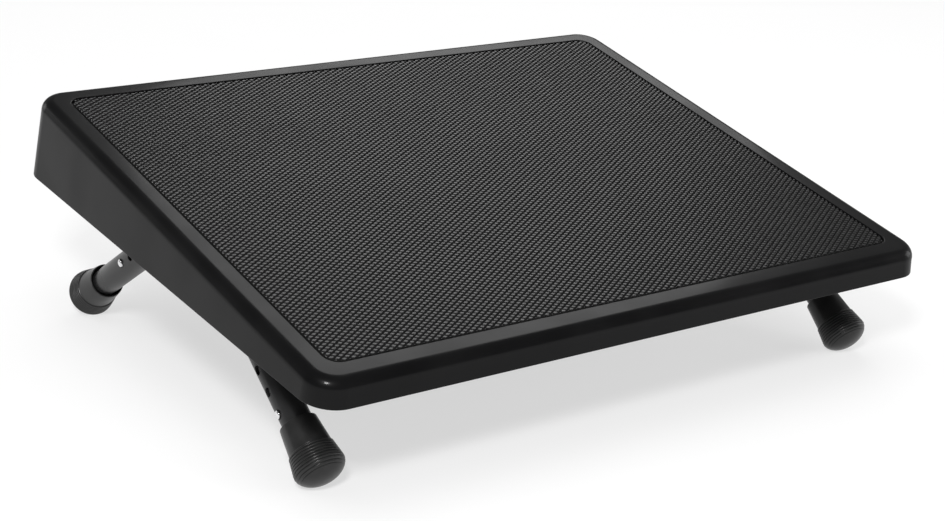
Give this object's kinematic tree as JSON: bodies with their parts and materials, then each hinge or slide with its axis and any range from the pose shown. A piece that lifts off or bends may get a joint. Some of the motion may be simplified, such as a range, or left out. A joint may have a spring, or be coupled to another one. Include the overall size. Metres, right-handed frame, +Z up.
{
  "type": "tilting under-desk footrest",
  "caption": "Tilting under-desk footrest: a wedge-shaped moulded platform with a rubber tread mat that turns on a tube frame with splayed, height-adjustable legs and rubber feet.",
  "frame": {"origin": "on the floor under the middle of the footrest's overall box", "axes": "+X to the user's right along the platform's width, +Y away from the user towards the raised rear edge, +Z up"},
  "size_m": [0.4528, 0.3612, 0.1394],
  "materials": {
    "shell_plastic": "fine-grained moulded black plastic with a soft sheen",
    "mat_rubber": "dark grey rubber with a fine lozenge tread",
    "coated_steel": "black powder coat, semi-gloss",
    "foot_rubber": "black moulded rubber, slightly shiny",
    "button_steel": "bright plated steel",
    "screw_steel": "zinc-plated steel",
    "spring_steel": "plain spring steel",
    "nylon": "natural white nylon"
  },
  "bodies": {
    "leg_frame": {"left_side_tube": "coated_steel", "right_side_tube": "coated_steel", "pivot_cross_tube": "coated_steel", "front_left_leaf_spring": "spring_steel", "front_right_leaf_spring": "spring_steel", "rear_left_leaf_spring": "spring_steel", "rear_right_leaf_spring": "spring_steel"},
    "platform": {"platform_shell": "shell_plastic", "tread_mat": "mat_rubber", "left_pivot_bush": "nylon", "left_bearing_cap": "shell_plastic", "left_cap_screw_front": "screw_steel", "left_cap_screw_rear": "screw_steel", "right_pivot_bush": "nylon", "right_bearing_cap": "shell_plastic", "right_cap_screw_front": "screw_steel", "right_cap_screw_rear": "screw_steel"},
    "front_left_leg": {"front_left_leg_sleeve": "coated_steel", "front_left_rubber_foot": "foot_rubber", "front_left_foot_washer": "spring_steel"},
    "front_right_leg": {"front_right_leg_sleeve": "coated_steel", "front_right_rubber_foot": "foot_rubber", "front_right_foot_washer": "spring_steel"},
    "rear_left_leg": {"rear_left_leg_sleeve": "coated_steel", "rear_left_rubber_foot": "foot_rubber", "rear_left_foot_washer": "spring_steel"},
    "rear_right_leg": {"rear_right_leg_sleeve": "coated_steel", "rear_right_rubber_foot": "foot_rubber", "rear_right_foot_washer": "spring_steel"},
    "front_left_button": {"front_left_snap_button": "button_steel"},
    "front_right_button": {"front_right_snap_button": "button_steel"},
    "rear_left_button": {"rear_left_snap_button": "button_steel"},
    "rear_right_button": {"rear_right_snap_button": "button_steel"}
  },
  "joints": [
    {"name": "platform_tilt", "type": "hinge", "parent": "leg_frame", "child": "platform", "pos_m": [0, -0.00358, 0.09328], "axis": [1, 0, 0], "range_deg": [-10, 8]},
    {"name": "front_left_leg_extend", "type": "slide", "parent": "leg_frame", "child": "front_left_leg", "axis": [0, -0.8192, -0.5736], "range_m": [0, 0.0288], "deforming": ["front_left_snap_button", "front_left_leaf_spring"]},
    {"name": "front_right_leg_extend", "type": "slide", "parent": "leg_frame", "child": "front_right_leg", "axis": [0, -0.8192, -0.5736], "range_m": [0, 0.0288], "deforming": ["front_right_snap_button", "front_right_leaf_spring"]},
    {"name": "rear_left_leg_extend", "type": "slide", "parent": "leg_frame", "child": "rear_left_leg", "axis": [0, 0.8192, -0.5736], "range_m": [0, 0.0288], "deforming": ["rear_left_snap_button", "rear_left_leaf_spring"]},
    {"name": "rear_right_leg_extend", "type": "slide", "parent": "leg_frame", "child": "rear_right_leg", "axis": [0, 0.8192, -0.5736], "range_m": [0, 0.0288], "deforming": ["rear_right_snap_button", "rear_right_leaf_spring"]},
    {"name": "front_left_button_press", "type": "slide", "parent": "leg_frame", "child": "front_left_button", "axis": [1, 0, 0], "range_m": [0, 0.0032], "stiffness_N_per_m": 800, "springref_m": -0.003, "deforming": ["front_left_leaf_spring"]},
    {"name": "front_right_button_press", "type": "slide", "parent": "leg_frame", "child": "front_right_button", "axis": [-1, 0, 0], "range_m": [0, 0.0032], "stiffness_N_per_m": 800, "springref_m": -0.003, "deforming": ["front_right_leaf_spring"]},
    {"name": "rear_left_button_press", "type": "slide", "parent": "leg_frame", "child": "rear_left_button", "axis": [1, 0, 0], "range_m": [0, 0.0032], "stiffness_N_per_m": 800, "springref_m": -0.003, "deforming": ["rear_left_leaf_spring"]},
    {"name": "rear_right_button_press", "type": "slide", "parent": "leg_frame", "child": "rear_right_button", "axis": [-1, 0, 0], "range_m": [0, 0.0032], "stiffness_N_per_m": 800, "springref_m": -0.003, "deforming": ["rear_right_leaf_spring"]}
  ]
}
